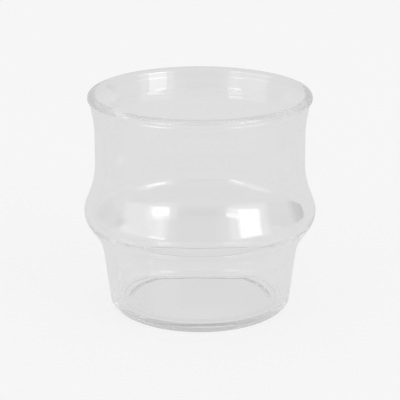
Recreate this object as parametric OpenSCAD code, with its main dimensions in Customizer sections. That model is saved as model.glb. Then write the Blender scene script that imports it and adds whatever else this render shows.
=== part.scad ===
// Chai glass: a single-walled clear glass with a flared lip and a hollow bulge low on its body.
// The whole glass is one turned section. Its origin is the centre of the circle it stands on, +Z up.

/* [Overall] */
// Height of the glass, from the table to the top of the lip
height = 76; // [68:0.5:98]
// Thickness of the side wall
wall = 3; // [1.6:0.1:4]

/* [Lip] */
// Outer diameter over the lip
rim_d = 76.5; // [72:0.5:90]
// Thickness of the round bead that ends the wall
lip_d = 3.2; // [2.2:0.1:5]
// How far the bead stands out from the flare below it
lip_out = 0.55; // [0.1:0.05:0.8]
// Rounding of the hollow under the bead
lip_neck = 4; // [1:0.5:6]
// Height of the flare outside, measured down from the top of the lip
flare_h = 11; // [8:0.5:18]
// Rounding where the flare leaves the straight wall, outside
flare_round = 28; // [5:1:50]
// Height of the flare inside, measured down from the top of the lip
inner_flare_h = 7.5; // [5:0.5:14]
// Rounding where the flare leaves the straight wall, inside
inner_flare_round = 18; // [3:1:40]

/* [Upper wall] */
// Outer diameter of the straight wall above the bulge
waist_d = 72; // [66:0.2:78]
// Rounding where the straight wall runs out into the bulge
shoulder_round = 29; // [3:1:40]

/* [Bulge] */
// Outer diameter of the bulge at its widest
bulge_d = 80; // [74:0.5:92]
// Height of the widest line above the table
bulge_z = 34.5; // [30:0.5:44]
// Rounding of the bulge's crest, as seen in the section
bulge_round = 7.5; // [6:0.5:14]
// Height from the widest line up to where the bulge meets the straight wall
bulge_rise = 12; // [8:0.5:16]
// Height from the widest line down to where the bulge meets the lower wall
bulge_drop = 11; // [8:0.5:18]

/* [Lower wall] */
// Outer diameter where the lower wall meets the bulge
root_d = 68; // [60:0.5:74]
// Rounding where the lower wall meets the bulge
root_round = 15; // [3:1:30]
// Outer diameter of the lower wall carried down to the table
foot_d = 62; // [54:0.5:68]
// Rounding of the heel, outside
heel_round = 3; // [2:0.5:8]

/* [Base] */
// Thickness of the base, from the table to the floor inside
base = 2.8; // [2.5:0.1:8]
// Rounding where the floor turns up into the wall, inside
floor_round = 4; // [1:0.5:8]
// Width of the flat ring that the glass stands on
bearing_w = 3; // [1:0.2:5]
// Depth of the hollow under the base
punt_h = 0.5; // [0.2:0.1:1.8]
// Width of the slope from the standing ring up into that hollow
punt_slope = 2.4; // [0.6:0.2:4]
// Rounding of the hollow's two edges
punt_round = 1.2; // [0.2:0.1:3]

/* [Hidden] */
$fn = 180;

glass_color = [0.86, 0.88, 0.88, 0.4];

// How far a rounding's slice runs on past its chord, so that it joins or cuts cleanly
overrun = 0.3;

waist_r = waist_d / 2;
lip_r = lip_d / 2;

// Distance from the bead's centre to the line of the flare outside
lip_inset = lip_r - lip_out;

// Section points are [distance from the axis, height]
lip_centre = [rim_d / 2 - lip_r, height - lip_r];
flare_corner = [waist_r, height - flare_h];
shoulder_corner = [waist_r, bulge_z + bulge_rise];
root_corner = [root_d / 2, bulge_z - bulge_drop];
heel_corner = [foot_d / 2, 0];

// The crest's rounding stays within the height that the bulge has on each side
crest_round = min(bulge_round, bulge_rise, bulge_drop);
crest_centre = [bulge_d / 2 - crest_round, bulge_z];

function unit(v) = v / norm(v);
function right_normal(v) = [v.y, -v.x];
function heading(v) = atan2(v.y, v.x);
function ray(angle) = [cos(angle), sin(angle)];

// Direction of the line from a point that just touches a circle, which lies to its left (+1) or right (-1)
function touch_ray(from, centre, radius, side) =
    let (reach = centre - from)
    ray(heading(reach) - side * asin(radius / norm(reach)));

// Where that line touches the circle
function touch_point(from, centre, radius, side) =
    let (along = touch_ray(from, centre, radius, side))
    from + along * ((centre - from) * along);

// Corner of two lines, both moved by the same distance to the left of their headings
function moved_corner(corner, heading_in, heading_out, distance) =
    let (side_in = right_normal(heading_in), side_out = right_normal(heading_out))
    corner - (side_in + side_out) * distance / (1 + side_in * side_out);

// Headings of the straight stretches of the outer side, from the heel up
lower_ray = unit(root_corner - heel_corner);
under_ray = touch_ray(root_corner, crest_centre, crest_round, 1);
over_ray = -touch_ray(shoulder_corner, crest_centre, crest_round, -1);
waist_ray = unit(flare_corner - shoulder_corner);
flare_ray = touch_ray(flare_corner, lip_centre, lip_inset, 1);

// The crest's corner is where the lines under and over the bulge would meet
crest_corner = moved_corner(crest_centre, under_ray, over_ray, -crest_round);

// The flare outside runs into the bead, and a hollow rounds the corner under the bead
flare_end = touch_point(flare_corner, lip_centre, lip_inset, 1);
neck_back = sqrt(pow(lip_r + lip_neck, 2) - pow(lip_inset + lip_neck, 2));
neck_centre = flare_end + right_normal(flare_ray) * lip_neck - flare_ray * neck_back;
neck_start = flare_end - flare_ray * neck_back;
neck_end = lip_centre + unit(neck_centre - lip_centre) * lip_r;

// Below the flare, the inner side follows the outer side one wall away
inner_root = moved_corner(root_corner, lower_ray, under_ray, wall);
inner_crest = moved_corner(crest_corner, under_ray, over_ray, wall);
inner_shoulder = moved_corner(shoulder_corner, over_ray, waist_ray, wall);
inner_flare = [waist_r - wall, height - inner_flare_h];
inner_heel = inner_root - lower_ray * (inner_root.y - base) / lower_ray.y;

// The flat ring lies inside the heel's rounding, and the hollow inside the ring
heel_reach = heel_round * tan(heading(lower_ray) / 2);
punt_edge = [heel_corner.x - heel_reach - bearing_w, 0];
punt_top = [punt_edge.x - punt_slope, punt_h];

// Corners of the wall's section with their roundings, counter-clockwise from the axis under the base
section_corners = [
    [[0, punt_h], 0],
    [punt_top, punt_round],
    [punt_edge, punt_round],
    [heel_corner, heel_round],
    [root_corner, root_round],
    [crest_corner, crest_round],
    [shoulder_corner, shoulder_round],
    [flare_corner, flare_round],
    [flare_end, 0],
    [touch_point(inner_flare, lip_centre, lip_r, -1), 0],
    [inner_flare, inner_flare_round],
    [inner_shoulder, shoulder_round + wall],
    [inner_crest, crest_round - wall],
    [inner_root, root_round + wall],
    [inner_heel, floor_round],
    [[0, base], 0],
];

// A corner's neighbours in a closed list
function corner_at(corners, i) = corners[(i + len(corners)) % len(corners)][0];
function edge_in(corners, i) = corner_at(corners, i) - corner_at(corners, i - 1);
function edge_out(corners, i) = edge_in(corners, i + 1);

// Angle that the outline turns by at a corner, positive where the glass bulges out
function turn(corners, i) =
    let (a = unit(edge_in(corners, i)), b = unit(edge_out(corners, i)))
    atan2(a.x * b.y - a.y * b.x, a * b);

// Length of edge that a corner's rounding takes up on each side
function reach(corners, i) =
    let (k = (i + len(corners)) % len(corners))
    corners[k][1] * tan(abs(turn(corners, k)) / 2);

// Where two roundings ask for more than their shared edge, both shrink alike
function fit_share(corners, i) = min(
    1,
    norm(edge_in(corners, i)) / (reach(corners, i - 1) + reach(corners, i)),
    norm(edge_out(corners, i)) / (reach(corners, i) + reach(corners, i + 1)));

// Chord that cuts a rounded corner off, from the arc's first point to its last
function chord(corners, i) =
    let (back = reach(corners, i) * fit_share(corners, i), at = corner_at(corners, i))
    back == 0 ? [at] : [at - unit(edge_in(corners, i)) * back, at + unit(edge_out(corners, i)) * back];

// The slice of a circle from just behind a corner's chord to its arc
module arc_slice(corners, i) {
    radius = corners[i][1] * fit_share(corners, i);
    half_turn = turn(corners, i) / 2;
    outward = unit(unit(edge_in(corners, i)) - unit(edge_out(corners, i)));
    translate(corner_at(corners, i) - outward * radius / cos(half_turn))
        rotate(heading(outward))
            intersection() {
                circle(radius);
                translate([radius * cos(half_turn) - overrun, -radius])
                    square([radius + overrun, 2 * radius]);
            }
}

// A closed outline with true arcs at its rounded corners
module rounded_outline(corners) {
    rounded = [for (i = [0 : len(corners) - 1]) if (reach(corners, i) > 0) i];
    difference() {
        union() {
            polygon([for (i = [0 : len(corners) - 1]) each chord(corners, i)]);
            for (i = rounded) if (turn(corners, i) > 0) arc_slice(corners, i);
        }
        for (i = rounded) if (turn(corners, i) < 0) arc_slice(corners, i);
    }
}

// The glass between the flare, the bead and the hollow under the bead
module neck_fill() {
    difference() {
        polygon([neck_start, neck_end, lip_centre]);
        translate(neck_centre) circle(lip_neck);
    }
}

// The glass, one piece: the turned wall and base, with the bead along its lip
module glass_body() {
    color(glass_color)
        rotate_extrude()
            union() {
                rounded_outline(section_corners);
                translate(lip_centre) circle(lip_r);
                neck_fill();
            }
}

glass_body();
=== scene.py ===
"""Chai glass: one turned piece of clear glass on a pale floor, lit from two windows beside the camera."""
import logging
import math
from dataclasses import dataclass
from enum import Enum
from typing import Any

import bpy
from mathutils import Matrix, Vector


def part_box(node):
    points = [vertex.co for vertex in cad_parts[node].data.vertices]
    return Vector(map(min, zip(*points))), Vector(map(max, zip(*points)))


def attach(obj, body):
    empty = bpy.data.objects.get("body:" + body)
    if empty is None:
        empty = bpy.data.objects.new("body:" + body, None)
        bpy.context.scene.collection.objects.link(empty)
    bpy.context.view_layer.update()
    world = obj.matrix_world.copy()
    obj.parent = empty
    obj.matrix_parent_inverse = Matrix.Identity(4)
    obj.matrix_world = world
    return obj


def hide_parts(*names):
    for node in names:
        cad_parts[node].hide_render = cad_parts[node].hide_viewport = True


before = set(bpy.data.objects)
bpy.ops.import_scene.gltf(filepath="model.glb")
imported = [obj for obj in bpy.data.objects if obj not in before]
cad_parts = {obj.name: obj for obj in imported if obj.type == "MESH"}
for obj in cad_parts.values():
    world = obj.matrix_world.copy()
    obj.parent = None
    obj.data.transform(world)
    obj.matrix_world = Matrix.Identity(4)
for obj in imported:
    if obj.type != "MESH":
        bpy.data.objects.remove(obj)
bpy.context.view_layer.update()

LOG = logging.getLogger("chai_glass")

NODE = "glass_body"
BODY = "root"
SLOT = "clear_glass"

Colour = tuple[float, float, float, float]
WHITE: Colour = (1.0, 1.0, 1.0, 1.0)


class Math(Enum):
    """The sums that the node graphs use."""

    ADD = "ADD"
    SUBTRACT = "SUBTRACT"
    MULTIPLY = "MULTIPLY"
    DIVIDE = "DIVIDE"
    MAXIMUM = "MAXIMUM"
    COSINE = "COSINE"
    SINE = "SINE"
    ARCTAN2 = "ARCTAN2"
    ARCSINE = "ARCSINE"
    DEGREES = "DEGREES"


class Count(Enum):
    """The sums of whole numbers that the node graphs use."""

    ADD = "ADD"
    DIVIDE_FLOOR = "DIVIDE_FLOOR"
    MODULO = "MODULO"


class Graph:
    """A node tree with short calls to add, set and link its nodes."""

    def __init__(self, tree: bpy.types.NodeTree) -> None:
        """Keeps the tree."""
        self.tree = tree

    def set(self, node: bpy.types.Node, inputs: dict[Any, Any]) -> None:
        """Sets or links inputs of a node.

        Args:
            node: The node.
            inputs: Values or output sockets, by the input's name or place.
        """
        for key, value in inputs.items():
            if isinstance(value, bpy.types.NodeSocket):
                self.tree.links.new(value, node.inputs[key])
            else:
                node.inputs[key].default_value = value

    def add(self, kind: str, inputs: dict[Any, Any] | None = None, **settings: Any) -> bpy.types.Node:
        """Adds one node.

        Args:
            kind: The node's type.
            inputs: Values or output sockets for its inputs, by name or place.
            settings: The node's own properties.

        Returns:
            The new node.
        """
        node = self.tree.nodes.new(kind)
        for name, value in settings.items():
            setattr(node, name, value)
        self.set(node, inputs or {})
        return node

    def sum(self, kind: Math, first: Any, second: Any = 0.0) -> bpy.types.NodeSocket:
        """Adds a Math node and returns its result."""
        return self.add("ShaderNodeMath", {0: first, 1: second}, operation=kind.value).outputs[0]

    def count(self, kind: Count, first: Any, second: Any) -> bpy.types.NodeSocket:
        """Adds an Integer Math node and returns its result."""
        return self.add("FunctionNodeIntegerMath", {0: first, 1: second}, operation=kind.value).outputs[0]

    def blend(self, share: Any, first: Any, second: Any) -> bpy.types.NodeSocket:
        """Adds a Mix Shader that goes from the first shader to the second and returns its result."""
        return self.add("ShaderNodeMixShader", {0: share, 1: first, 2: second}).outputs[0]

    def mix(self, share: Any, first: Any, second: Any) -> bpy.types.NodeSocket:
        """Adds a Mix node that goes from the first number to the second and returns its result."""
        return self.add("ShaderNodeMix", {0: share, 2: first, 3: second}).outputs[0]

    def ramp(
        self, value: Any, start: Any, end: Any, low: float = 0.0, high: float = 1.0
    ) -> bpy.types.NodeSocket:
        """Adds a smooth step from low to high.

        Args:
            value: What the step follows.
            start: Value at which it leaves low.
            end: Value at which it reaches high.
            low: Result before start.
            high: Result after end.

        Returns:
            The step's output socket.
        """
        ends = {"Value": value, "From Min": start, "From Max": end, "To Min": low, "To Max": high}
        return self.add("ShaderNodeMapRange", ends, interpolation_type="SMOOTHSTEP").outputs["Result"]


@dataclass(frozen=True)
class ClearGlass:
    """Clear, fire-polished glass with the faint unevenness of a blown piece. Lengths are in metres."""

    tint: Colour = (0.993, 0.993, 0.993, 1.0)
    clarity: float = 1.0
    ior: float = 1.5
    smoothest: float = 0.0
    roughest: float = 0.02
    haze_scale: float = 60.0
    haze_detail: float = 3.0
    haze_start: float = 0.5
    haze_full: float = 0.8
    skin_scale: float = 180.0
    skin_detail: float = 2.0
    skin_height: float = 0.00002
    skin_strength: float = 0.25
    depth_tint: Colour = (0.03, 0.03, 0.03, 1.0)
    depth_density: float = 0.7

    def material(self) -> bpy.types.Material:
        """Builds the finish.

        Returns:
            The glass's material.
        """
        made = bpy.data.materials.new(SLOT)
        made.use_nodes = True
        graph = Graph(made.node_tree)
        place = graph.add("ShaderNodeTexCoord").outputs["Object"]
        surface = {
            "Base Color": self.tint,
            "Transmission Weight": self.clarity,
            "IOR": self.ior,
            "Roughness": self.haze(graph, place),
            "Normal": self.skin(graph, place),
        }
        graph.set(made.node_tree.nodes["Principled BSDF"], surface)
        absorption = {"Color": self.depth_tint, "Density": self.depth_density}
        depth = graph.add("ShaderNodeVolumeAbsorption", absorption).outputs["Volume"]
        graph.set(made.node_tree.nodes["Material Output"], {"Volume": depth})
        return made

    def haze(self, graph: Graph, place: bpy.types.NodeSocket) -> bpy.types.NodeSocket:
        """Adds the roughness: none, but for patches of a faint haze.

        Args:
            graph: The finish's graph.
            place: The point on the glass.

        Returns:
            The roughness's output socket.
        """
        patches = {"Vector": place, "Scale": self.haze_scale, "Detail": self.haze_detail}
        noise = graph.add("ShaderNodeTexNoise", patches).outputs["Fac"]
        return graph.ramp(noise, self.haze_start, self.haze_full, self.smoothest, self.roughest)

    def skin(self, graph: Graph, place: bpy.types.NodeSocket) -> bpy.types.NodeSocket:
        """Adds the fine relief of a fire-polished surface.

        Args:
            graph: The finish's graph.
            place: The point on the glass.

        Returns:
            The output socket of the surface's normal.
        """
        swells = {"Vector": place, "Scale": self.skin_scale, "Detail": self.skin_detail}
        height = graph.add("ShaderNodeTexNoise", swells).outputs["Fac"]
        relief = {"Height": height, "Distance": self.skin_height, "Strength": self.skin_strength}
        return graph.add("ShaderNodeBump", relief).outputs["Normal"]


@dataclass(frozen=True)
class PaleFloor:
    """Plain pale floor: even with a soft shadow for the camera, a little darker as the glass sees it, with
    painted light in front and a painted shade in front of the foot.
    """

    paint: Colour = (0.8, 0.8, 0.8, 1.0)
    seen: float = 1.025
    in_glass: float = 0.74
    # painted light: how much lighter the floor looks in the glass in front; foot_shade and the shade_ sizes
    # paint a soft shade in front of the foot
    painted_front_light: float = 0.1
    front_reach: float = 0.03
    foot_shade: float = 0.17
    shade_start: float = 0.01
    shade_peak: float = 0.035
    shade_end: float = 0.054
    shadow_share: float = 0.2

    def material(self) -> bpy.types.Material:
        """Builds the finish.

        Returns:
            The floor's material.
        """
        made = bpy.data.materials.new("pale_floor")
        made.use_nodes = True
        made.node_tree.nodes.clear()
        graph = Graph(made.node_tree)
        path = graph.add("ShaderNodeLightPath").outputs
        paint = graph.add("ShaderNodeBsdfDiffuse", {"Color": self.paint}).outputs[0]
        even = graph.add("ShaderNodeEmission", {"Color": WHITE, "Strength": self.seen}).outputs[0]
        plain = graph.blend(self.shadow_share, even, paint)
        glow = graph.add("ShaderNodeEmission", {"Color": WHITE, "Strength": self.level(graph)}).outputs[0]
        bent = graph.sum(Math.MAXIMUM, path["Is Transmission Ray"], path["Is Glossy Ray"])
        lit = graph.blend(bent, paint, glow)
        both = graph.blend(path["Is Camera Ray"], lit, plain)
        graph.add("ShaderNodeOutputMaterial", {"Surface": both})
        return made

    def level(self, graph: Graph) -> bpy.types.NodeSocket:
        """Adds the floor's level in the glass: painted light that makes it lighter in front, and a painted
        soft shade in front of the foot.

        Args:
            graph: The finish's graph.

        Returns:
            The level's output socket.
        """
        place = graph.add("ShaderNodeTexCoord").outputs["Object"]
        depth = graph.add("ShaderNodeSeparateXYZ", {0: place}).outputs["Y"]
        out = graph.add("ShaderNodeVectorMath", {0: place}, operation="LENGTH").outputs["Value"]
        front = graph.ramp(depth, -self.front_reach, 0.0, 1.0, 0.0)
        rise = graph.ramp(out, self.shade_start, self.shade_peak)
        fall = graph.ramp(out, self.shade_peak, self.shade_end, self.foot_shade, 0.0)
        shade = graph.sum(Math.MULTIPLY, rise, fall)
        # painted light in front, less the painted shade in front of the foot, on the floor as the glass
        # sees it
        painted_light_and_shade = graph.sum(Math.MULTIPLY, front, graph.sum(Math.SUBTRACT, self.painted_front_light, shade))
        return graph.sum(Math.ADD, painted_light_and_shade, self.in_glass)


@dataclass(frozen=True)
class Corner:
    """A corner of the glass's section: distance from the axis, height, and the radius that rounds it."""

    at: Vector
    rounding: float = 0.0


def unit(angle: float) -> Vector:
    """Returns the unit vector at an angle from the section's outward axis."""
    return Vector((math.cos(angle), math.sin(angle)))


def heading(way: Vector) -> float:
    """Returns the angle that a vector points at."""
    return math.atan2(way.y, way.x)


def touch_ray(start: Vector, centre: Vector, radius: float, side: int) -> Vector:
    """Finds the line from a point that just touches a circle.

    Args:
        start: The point.
        centre: The circle's centre.
        radius: The circle's radius.
        side: 1 if the circle lies to the left of the line, -1 if to the right.

    Returns:
        The line's unit vector.
    """
    reach = centre - start
    return unit(heading(reach) - side * math.asin(radius / reach.length))


def touch_point(start: Vector, centre: Vector, radius: float, side: int) -> Vector:
    """Returns where the line from start touches the circle, with the arguments of touch_ray."""
    along = touch_ray(start, centre, radius, side)
    return start + along * (centre - start).dot(along)


def moved_corner(corner: Vector, way_in: Vector, way_out: Vector, distance: float) -> Vector:
    """Moves both lines of a corner to their left.

    Args:
        corner: Where the lines meet.
        way_in: Unit vector of the first line.
        way_out: Unit vector of the second line.
        distance: How far both move.

    Returns:
        Where the moved lines meet.
    """
    side_in = Vector((way_in.y, -way_in.x))
    side_out = Vector((way_out.y, -way_out.x))
    return corner - (side_in + side_out) * (distance / (1.0 + side_in.dot(side_out)))


@dataclass
class GlassBody:
    """The glass: lip, wall, bulge, heel and base turned in one piece. Lengths are in metres."""

    height: float
    bulge_d: float
    wall: float = 0.003
    rim_d: float = 0.0765
    lip_d: float = 0.0032
    lip_out: float = 0.00055
    lip_neck: float = 0.004
    flare_h: float = 0.011
    flare_round: float = 0.028
    inner_flare_h: float = 0.0075
    inner_flare_round: float = 0.018
    waist_d: float = 0.072
    shoulder_round: float = 0.029
    bulge_z: float = 0.0345
    bulge_round: float = 0.0075
    bulge_rise: float = 0.012
    bulge_drop: float = 0.011
    root_d: float = 0.068
    root_round: float = 0.015
    foot_d: float = 0.062
    heel_round: float = 0.003
    base: float = 0.0028
    floor_round: float = 0.004
    bearing_w: float = 0.003
    punt_h: float = 0.0005
    punt_slope: float = 0.0024
    punt_round: float = 0.0012
    arc_step: float = math.radians(5.0)
    straight_step: float = 0.003
    least_parts: int = 4
    segments: int = 360
    ripple_height: float = 0.00008
    ripple_size: float = 0.016
    ripple_detail: float = 1.0
    ripple_seed: float = 3.0
    ripple_start: float = 0.0018
    weld: float = 0.000001

    def named_corners(self) -> dict[str, Vector]:
        """Works out the section's main corners and centres from its sizes.

        Returns:
            The corners, and the centres of the lip's bead and of the bulge's crest, by name.
        """
        lip_r = self.lip_d / 2
        waist_r = self.waist_d / 2
        return {
            "lip": Vector((self.rim_d / 2 - lip_r, self.height - lip_r)),
            "flare": Vector((waist_r, self.height - self.flare_h)),
            "inner_flare": Vector((waist_r - self.wall, self.height - self.inner_flare_h)),
            "shoulder": Vector((waist_r, self.bulge_z + self.bulge_rise)),
            "crest_centre": Vector((self.bulge_d / 2 - self.bulge_round, self.bulge_z)),
            "root": Vector((self.root_d / 2, self.bulge_z - self.bulge_drop)),
            "heel": Vector((self.foot_d / 2, 0.0)),
        }

    def section_corners(self) -> tuple[list[Corner], list[Corner]]:
        """Works out the section's two sides.

        Returns:
            The corners from the axis under the base up to the lip, and those from the lip down to the
            floor's centre.
        """
        at = self.named_corners()
        lower = (at["root"] - at["heel"]).normalized()
        under = touch_ray(at["root"], at["crest_centre"], self.bulge_round, 1)
        over = -touch_ray(at["shoulder"], at["crest_centre"], self.bulge_round, -1)
        waist = (at["flare"] - at["shoulder"]).normalized()
        crest = moved_corner(at["crest_centre"], under, over, -self.bulge_round)
        inner_root = moved_corner(at["root"], lower, under, self.wall)
        inner_heel = inner_root - lower * ((inner_root.y - self.base) / lower.y)
        heel_reach = self.heel_round * math.tan(heading(lower) / 2)
        punt_edge = Vector((at["heel"].x - heel_reach - self.bearing_w, 0.0))
        punt_top = punt_edge + Vector((-self.punt_slope, self.punt_h))
        outside = [
            Corner(Vector((0.0, self.punt_h))),
            Corner(punt_top, self.punt_round),
            Corner(punt_edge, self.punt_round),
            Corner(at["heel"], self.heel_round),
            Corner(at["root"], self.root_round),
            Corner(crest, self.bulge_round),
            Corner(at["shoulder"], self.shoulder_round),
            Corner(at["flare"], self.flare_round),
            *self.neck(at["flare"], at["lip"]),
        ]
        inside = [
            Corner(touch_point(at["inner_flare"], at["lip"], self.lip_d / 2, -1)),
            Corner(at["inner_flare"], self.inner_flare_round),
            Corner(moved_corner(at["shoulder"], over, waist, self.wall), self.shoulder_round + self.wall),
            Corner(moved_corner(crest, under, over, self.wall), self.bulge_round - self.wall),
            Corner(inner_root, self.root_round + self.wall),
            Corner(inner_heel, self.floor_round),
            Corner(Vector((0.0, self.base))),
        ]
        return outside, inside

    def neck(self, flare: Vector, lip: Vector) -> tuple[Corner, Corner]:
        """Works out the hollow between the flare outside and the bead.

        Args:
            flare: Corner where the flare leaves the straight wall.
            lip: The bead's centre.

        Returns:
            The hollow's corner, and the point where the hollow meets the bead.
        """
        lip_r = self.lip_d / 2
        inset = lip_r - self.lip_out
        along = touch_ray(flare, lip, inset, 1)
        right = Vector((along.y, -along.x))
        turn = math.acos((inset + self.lip_neck) / (lip_r + self.lip_neck))
        back = (lip_r + self.lip_neck) * math.sin(turn)
        centre = lip + right * (inset + self.lip_neck) - along * back
        corner = centre - right * self.lip_neck + along * (self.lip_neck * math.tan(turn / 2))
        return Corner(corner, self.lip_neck), Corner(lip + (centre - lip).normalized() * lip_r)

    def arc(self, centre: Vector, start: Vector, turn: float) -> list[Vector]:
        """Lays points along an arc.

        Args:
            centre: The arc's centre.
            start: Its first point.
            turn: The angle that it covers, positive to the left.

        Returns:
            The points, ends included.
        """
        parts = max(self.least_parts, math.ceil(abs(turn) / self.arc_step))
        first = heading(start - centre)
        radius = (start - centre).length
        return [centre + unit(first + turn * k / parts) * radius for k in range(parts + 1)]

    def rounded(self, corners: list[Corner]) -> list[Vector]:
        """Rounds the corners of an open line and lays points along it.

        Args:
            corners: The line's corners, the first and last of them sharp.

        Returns:
            The points, in order.
        """
        points = [corners[0].at]
        for before, corner, after in zip(corners, corners[1:], corners[2:]):
            way_in = (corner.at - before.at).normalized()
            way_out = (after.at - corner.at).normalized()
            turn = math.atan2(way_in.x * way_out.y - way_in.y * way_out.x, way_in.dot(way_out))
            start = corner.at - way_in * (corner.rounding * math.tan(abs(turn) / 2))
            inward = Vector((-way_in.y, way_in.x)) * math.copysign(corner.rounding, turn)
            self.run_on(points, start)
            points += self.arc(start + inward, start, turn)[1:]
        self.run_on(points, corners[-1].at)
        return points

    def run_on(self, points: list[Vector], end: Vector) -> None:
        """Carries a line of points straight on.

        Args:
            points: The points so far, which get evenly spaced new ones.
            end: The last new point.
        """
        start = points[-1]
        if (end - start).length < self.weld:
            return
        parts = max(self.least_parts, math.ceil((end - start).length / self.straight_step))
        points.extend(start.lerp(end, k / parts) for k in range(1, parts + 1))

    def section(self) -> list[Vector]:
        """Lays points along the whole section.

        Returns:
            The points, from the axis under the base, over the lip, to the floor's centre.
        """
        outside, inside = self.section_corners()
        lip = self.named_corners()["lip"]
        turn = (heading(inside[0].at - lip) - heading(outside[-1].at - lip)) % math.tau
        over_lip = self.arc(lip, outside[-1].at, turn)
        return self.rounded(outside) + over_lip[1:-1] + self.rounded(inside)

    def turning_tree(self) -> bpy.types.NodeTree:
        """Builds the nodes that turn a section about the axis.

        Returns:
            The tree. Its inputs are the section, the sizes of the unevenness and the material.
        """
        tree = bpy.data.node_groups.new("turned_glass", "GeometryNodeTree")
        sockets = {
            "Section": "NodeSocketGeometry",
            "Segments": "NodeSocketInt",
            "Ripple Height": "NodeSocketFloat",
            "Ripple Size": "NodeSocketFloat",
            "Ripple Detail": "NodeSocketFloat",
            "Ripple Seed": "NodeSocketFloat",
            "Ripple Start": "NodeSocketFloat",
            "Weld": "NodeSocketFloat",
            "Glass": "NodeSocketMaterial",
        }
        for name, kind in sockets.items():
            tree.interface.new_socket(name, in_out="INPUT", socket_type=kind)
        tree.interface.new_socket("Geometry", in_out="OUTPUT", socket_type="NodeSocketGeometry")
        graph = Graph(tree)
        given = graph.add("NodeGroupInput").outputs
        uneven = self.uneven(graph, given, self.turned(graph, given))
        smooth = graph.add("GeometryNodeSetShadeSmooth", {"Geometry": uneven}).outputs[0]
        real = graph.add("GeometryNodeRealizeInstances", {"Geometry": smooth}).outputs[0]
        dressed = graph.add("GeometryNodeSetMaterial", {"Geometry": real, "Material": given["Glass"]})
        graph.add("NodeGroupOutput", {"Geometry": dressed.outputs[0]})
        return tree

    @staticmethod
    def turned(graph: Graph, given: Any) -> bpy.types.NodeSocket:
        """Adds the nodes that lay the section's points round the axis.

        Args:
            graph: The tree's graph.
            given: The tree's inputs.

        Returns:
            The welded mesh.
        """
        line = graph.add("GeometryNodeAttributeDomainSize", {"Geometry": given["Section"]}).outputs
        rows = graph.count(Count.ADD, given["Segments"], 1)
        sides = {"Vertices X": line["Point Count"], "Vertices Y": rows}
        grid = graph.add("GeometryNodeMeshGrid", sides).outputs["Mesh"]
        index = graph.add("GeometryNodeInputIndex").outputs[0]
        along = graph.count(Count.DIVIDE_FLOOR, index, rows)
        round_axis = graph.count(Count.MODULO, index, rows)
        position = graph.add("GeometryNodeInputPosition").outputs[0]
        source = {"Geometry": given["Section"], "Value": position, "Index": along}
        point = graph.add("GeometryNodeSampleIndex", source, data_type="FLOAT_VECTOR").outputs[0]
        part = graph.add("ShaderNodeSeparateXYZ", {0: point}).outputs
        share = graph.sum(Math.DIVIDE, round_axis, given["Segments"])
        angle = graph.sum(Math.MULTIPLY, share, -math.tau)
        x = graph.sum(Math.MULTIPLY, part["X"], graph.sum(Math.COSINE, angle))
        y = graph.sum(Math.MULTIPLY, part["X"], graph.sum(Math.SINE, angle))
        place = graph.add("ShaderNodeCombineXYZ", {"X": x, "Y": y, "Z": part["Z"]}).outputs[0]
        laid = graph.add("GeometryNodeSetPosition", {"Geometry": grid, "Position": place}).outputs[0]
        seams = {"Geometry": laid, "Distance": given["Weld"]}
        return graph.add("GeometryNodeMergeByDistance", seams).outputs[0]

    @staticmethod
    def uneven(graph: Graph, given: Any, mesh: bpy.types.NodeSocket) -> bpy.types.NodeSocket:
        """Adds the nodes that give the wall its faint unevenness, and leave the standing ring flat.

        Args:
            graph: The tree's graph.
            given: The tree's inputs.
            mesh: The turned glass.

        Returns:
            The uneven mesh.
        """
        scale = graph.sum(Math.DIVIDE, 1.0, given["Ripple Size"])
        swells = {"W": given["Ripple Seed"], "Scale": scale, "Detail": given["Ripple Detail"]}
        noise = graph.add("ShaderNodeTexNoise", swells, noise_dimensions="4D").outputs["Fac"]
        swing = graph.sum(Math.SUBTRACT, graph.sum(Math.MULTIPLY, noise, 2.0), 1.0)
        position = graph.add("GeometryNodeInputPosition").outputs[0]
        up = graph.add("ShaderNodeSeparateXYZ", {0: position}).outputs["Z"]
        above = graph.ramp(up, 0.0, given["Ripple Start"])
        step = graph.sum(Math.MULTIPLY, swing, graph.sum(Math.MULTIPLY, above, given["Ripple Height"]))
        normal = graph.add("GeometryNodeInputNormal").outputs[0]
        push = graph.add("ShaderNodeVectorMath", {0: normal, "Scale": step}, operation="SCALE").outputs[0]
        return graph.add("GeometryNodeSetPosition", {"Geometry": mesh, "Offset": push}).outputs[0]

    def build(self, finish: ClearGlass) -> bpy.types.Object:
        """Makes the glass as one closed mesh.

        Args:
            finish: Its material.

        Returns:
            The finished piece.
        """
        points = self.section()
        line = bpy.data.meshes.new("section_line")
        edges = [(k, k + 1) for k in range(len(points) - 1)]
        line.from_pydata([(p.x, 0.0, p.y) for p in points], edges, [])
        seed = bpy.data.objects.new("section_line", line)
        bpy.context.collection.objects.link(seed)
        tree = self.turning_tree()
        turning = seed.modifiers.new("turning", "NODES")
        turning.node_group = tree
        values = {
            "Segments": self.segments,
            "Ripple Height": self.ripple_height,
            "Ripple Size": self.ripple_size,
            "Ripple Detail": self.ripple_detail,
            "Ripple Seed": self.ripple_seed,
            "Ripple Start": self.ripple_start,
            "Weld": self.weld,
            "Glass": finish.material(),
        }
        for socket in tree.interface.items_tree:
            if socket.name in values:
                turning[socket.identifier] = values[socket.name]
        graph = bpy.context.evaluated_depsgraph_get()
        mesh = bpy.data.meshes.new_from_object(seed.evaluated_get(graph))
        mesh.name = NODE + "_visual"
        bpy.data.objects.remove(seed)
        piece = bpy.data.objects.new(NODE + "_visual", mesh)
        bpy.context.collection.objects.link(piece)
        return piece


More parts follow.
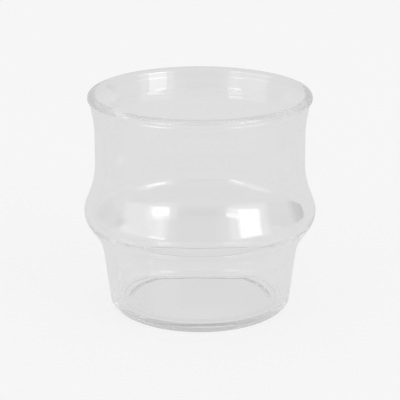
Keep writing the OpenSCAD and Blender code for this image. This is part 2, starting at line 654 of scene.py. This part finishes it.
@dataclass(frozen=True)
class Window:
    """A soft window of light, seen from the glass between two elevations.

    Angles are in degrees, and azimuths count from the camera's side, + to its right.
    """

    name: str
    azimuth: float
    span: float
    lowest: float
    highest: float
    radiance: float
    distance: float = 1.2

    def place(self) -> bpy.types.Object:
        """Hangs the window's lamp where the glass sees it.

        Returns:
            The lamp.
        """
        wide = 2 * self.distance * math.tan(math.radians(self.span) / 2)
        low = self.distance * math.tan(math.radians(self.lowest))
        high = self.distance * math.tan(math.radians(self.highest))
        way = math.radians(self.azimuth)
        lamp = bpy.data.lights.new(self.name, "AREA")
        lamp.shape = "RECTANGLE"
        lamp.size = wide
        lamp.size_y = high - low
        lamp.energy = self.radiance * math.pi * wide * (high - low)
        made = bpy.data.objects.new(self.name, lamp)
        made.location = (self.distance * math.sin(way), -self.distance * math.cos(way), (low + high) / 2)
        made.rotation_euler = (math.pi / 2, 0.0, way)
        made.visible_camera = False
        bpy.context.collection.objects.link(made)
        return made


@dataclass(frozen=True)
class PhotoCamera:
    """The camera of the photograph. Lengths are in metres, the focal length in the picture's pixels."""

    distance: float = 0.53
    height: float = 0.21113
    pitch: float = math.radians(18.156)
    focal_px: float = 1610.5
    frame_px: float = 400.0

    def place(self) -> bpy.types.Object:
        """Sets the camera up and makes it the scene's own.

        Returns:
            The camera.
        """
        lens = bpy.data.cameras.new("photo_camera")
        lens.lens = self.focal_px / self.frame_px * lens.sensor_width
        made = bpy.data.objects.new("photo_camera", lens)
        made.location = (0.0, -self.distance, self.height)
        made.rotation_euler = (math.pi / 2 - self.pitch, 0.0, 0.0)
        bpy.context.collection.objects.link(made)
        bpy.context.scene.camera = made
        return made


@dataclass(frozen=True)
class Patch:
    """A lighter or darker part of the room between two azimuths and two elevations.

    Angles are in degrees, and azimuths count from the camera's side, + to its right.
    """

    name: str
    left: float
    right: float
    low: float
    high: float
    level: float
    blur: float = 4.0

    def mask(self, graph: Graph, azimuth: Any, elevation: Any) -> bpy.types.NodeSocket:
        """Adds the nodes that are 1 inside the patch.

        Args:
            graph: The room's graph.
            azimuth: Azimuth of the ray, in degrees.
            elevation: Its elevation, in degrees.

        Returns:
            The mask's output socket.
        """
        across = self.within(graph, azimuth, self.left, self.right)
        return graph.sum(Math.MULTIPLY, across, self.within(graph, elevation, self.low, self.high))

    def within(self, graph: Graph, angle: Any, start: float, end: float) -> bpy.types.NodeSocket:
        """Adds the nodes that are 1 between two angles, with soft edges.

        Args:
            graph: The room's graph.
            angle: The ray's angle.
            start: The first angle.
            end: The last angle.

        Returns:
            The output socket.
        """
        rise = graph.ramp(angle, start - self.blur, start + self.blur)
        return graph.sum(Math.MULTIPLY, rise, graph.ramp(angle, end - self.blur, end + self.blur, 1.0, 0.0))


@dataclass(frozen=True)
class Studio:
    """The floor, the room round it and its light."""

    floor_size: float = 12.0
    seen: float = 0.921
    walls: float = 0.6
    bounces: int = 400

    def lay_floor(self) -> bpy.types.Object:
        """Lays the floor that the glass stands on.

        Returns:
            The floor.
        """
        half = self.floor_size / 2
        mesh = bpy.data.meshes.new("floor")
        corners = [(-half, -half, 0.0), (half, -half, 0.0), (half, half, 0.0), (-half, half, 0.0)]
        mesh.from_pydata(corners, [], [(0, 1, 2, 3)])
        mesh.materials.append(PaleFloor().material())
        made = bpy.data.objects.new("floor", mesh)
        bpy.context.collection.objects.link(made)
        return made

    def follow_light(self) -> None:
        """Lets light run on inside the wall, where it is reflected many times before it leaves."""
        paths = bpy.context.scene.cycles
        paths.max_bounces = self.bounces
        paths.glossy_bounces = self.bounces
        paths.transmission_bounces = self.bounces

    def light_room(self) -> None:
        """Sets the world: pale for the camera, and for the glass a room with lighter and darker parts."""
        world = bpy.data.worlds.new("room")
        world.use_nodes = True
        world.node_tree.nodes.clear()
        graph = Graph(world.node_tree)
        way = graph.add("ShaderNodeTexCoord").outputs["Generated"]
        part = graph.add("ShaderNodeSeparateXYZ", {0: way}).outputs
        forwards = graph.sum(Math.MULTIPLY, part["Y"], -1.0)
        azimuth = graph.sum(Math.DEGREES, graph.sum(Math.ARCTAN2, part["X"], forwards))
        elevation = graph.sum(Math.DEGREES, graph.sum(Math.ARCSINE, part["Z"]))
        level: Any = self.walls
        for patch in self.patches():
            level = graph.mix(patch.mask(graph, azimuth, elevation), level, patch.level)
        camera_ray = graph.add("ShaderNodeLightPath").outputs["Is Camera Ray"]
        strength = graph.mix(camera_ray, level, self.seen)
        shade = graph.add("ShaderNodeBackground", {"Color": WHITE, "Strength": strength})
        graph.add("ShaderNodeOutputWorld", {"Surface": shade.outputs[0]})
        bpy.context.scene.world = world

    def patches(self) -> list[Patch]:
        """Returns the room's parts that are lighter or darker than its walls, later ones over earlier."""
        return [
            Patch("ceiling", left=-200.0, right=200.0, low=45.0, high=100.0, level=0.48),
            Patch("left_curtain", left=-85.0, right=-33.0, low=-1.0, high=28.0, level=1.63),
            Patch("left_pane", left=-47.0, right=-38.0, low=12.0, high=24.0, level=2.2, blur=2.0),
            Patch("right_curtain", left=31.0, right=74.0, low=-1.0, high=37.0, level=1.63),
            Patch("camera_side", left=-24.0, right=18.0, low=6.5, high=24.0, level=0.29),
            Patch("right_doorway", left=108.0, right=130.0, low=-8.0, high=7.0, level=0.05, blur=2.0),
        ]

    def windows(self) -> list[Window]:
        """Returns the windows that light the glass."""
        return [
            Window("right_window", azimuth=52.0, span=23.0, lowest=8.0, highest=28.0, radiance=2.6),
            Window("left_window", azimuth=-42.5, span=16.5, lowest=5.0, highest=13.5, radiance=2.3),
        ]


def main() -> None:
    """Builds the glass and the studio, and reports each piece."""
    logging.basicConfig(level=logging.INFO, format="%(message)s")
    low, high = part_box(NODE)
    glass = GlassBody(height=high[2] - low[2], bulge_d=high[0] - low[0])
    piece = glass.build(ClearGlass())
    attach(piece, BODY)
    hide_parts(NODE)
    LOG.info("%s: %d faces", piece.name, len(piece.data.polygons))
    studio = Studio()
    LOG.info("%s laid", studio.lay_floor().name)
    studio.light_room()
    studio.follow_light()
    for window in studio.windows():
        LOG.info("%s lit", window.place().name)
    LOG.info("%s placed", PhotoCamera().place().name)
    bpy.context.scene.view_settings.view_transform = "Standard"


if __name__ == "__main__":
    main()
